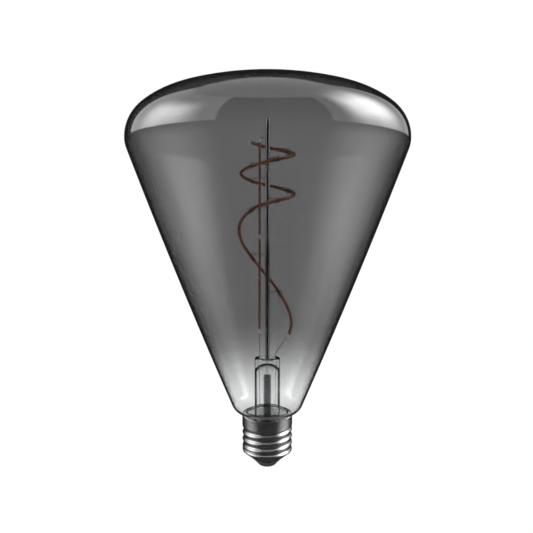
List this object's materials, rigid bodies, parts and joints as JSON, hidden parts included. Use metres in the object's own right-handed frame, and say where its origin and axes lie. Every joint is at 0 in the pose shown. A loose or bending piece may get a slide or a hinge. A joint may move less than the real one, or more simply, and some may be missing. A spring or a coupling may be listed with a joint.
{
  "type": "cone bulb",
  "caption": "Smoked-glass cone filament lamp with a low domed top, a spiral filament and stick filaments on a central mast, and a screw cap.",
  "frame": {"origin": "middle of the centre contact's face, at the bottom of the screw cap", "axes": "+Z along the lamp's axis from the cap to the dome, -Y towards the viewer of the picture, +X to their right"},
  "size_m": [0.14, 0.14, 0.198],
  "materials": {
    "smoked_glass": "smoke tint that fades to clear at the foot",
    "clear_glass": "clear",
    "dark_glass": "dark grey",
    "polished_metal": "polished",
    "filament_coat": "satin silicone coat",
    "wire_metal": "bright drawn wire",
    "nickel": "bright nickel plate",
    "contact_metal": "tinned",
    "black_insulator": "gloss",
    "cement": "matt",
    "board_laminate": "satin",
    "black_moulding": "matt",
    "resistor_coat": "gloss"
  },
  "bodies": {
    "root": {"glass_envelope": "smoked_glass", "stem": "clear_glass", "exhaust_tube": "dark_glass", "mast": "polished_metal", "spiral_filament": "filament_coat", "upper_stick_filament": "filament_coat", "lower_stick_filament": "filament_coat", "spiral_upper_tab": "wire_metal", "spiral_lower_tab": "wire_metal", "stick_upper_tab": "wire_metal", "stick_joint_tab": "wire_metal", "stick_lower_tab": "wire_metal", "stick_lead_wire": "wire_metal", "spiral_lead_wire": "wire_metal", "top_link_wire": "wire_metal", "shell_wire": "wire_metal", "support_wire_1": "wire_metal", "support_wire_2": "wire_metal", "support_wire_3": "wire_metal", "support_wire_4": "wire_metal", "support_wire_5": "wire_metal", "support_wire_6": "wire_metal", "support_wire_7": "wire_metal", "support_wire_8": "wire_metal", "support_wire_9": "wire_metal", "screw_shell": "nickel", "centre_contact": "contact_metal", "cap_insulator": "black_insulator", "cap_cement": "cement", "driver_board": "board_laminate", "driver_chip": "black_moulding", "bridge_rectifier": "black_moulding", "fusible_resistor": "resistor_coat"}
  },
  "joints": []
}
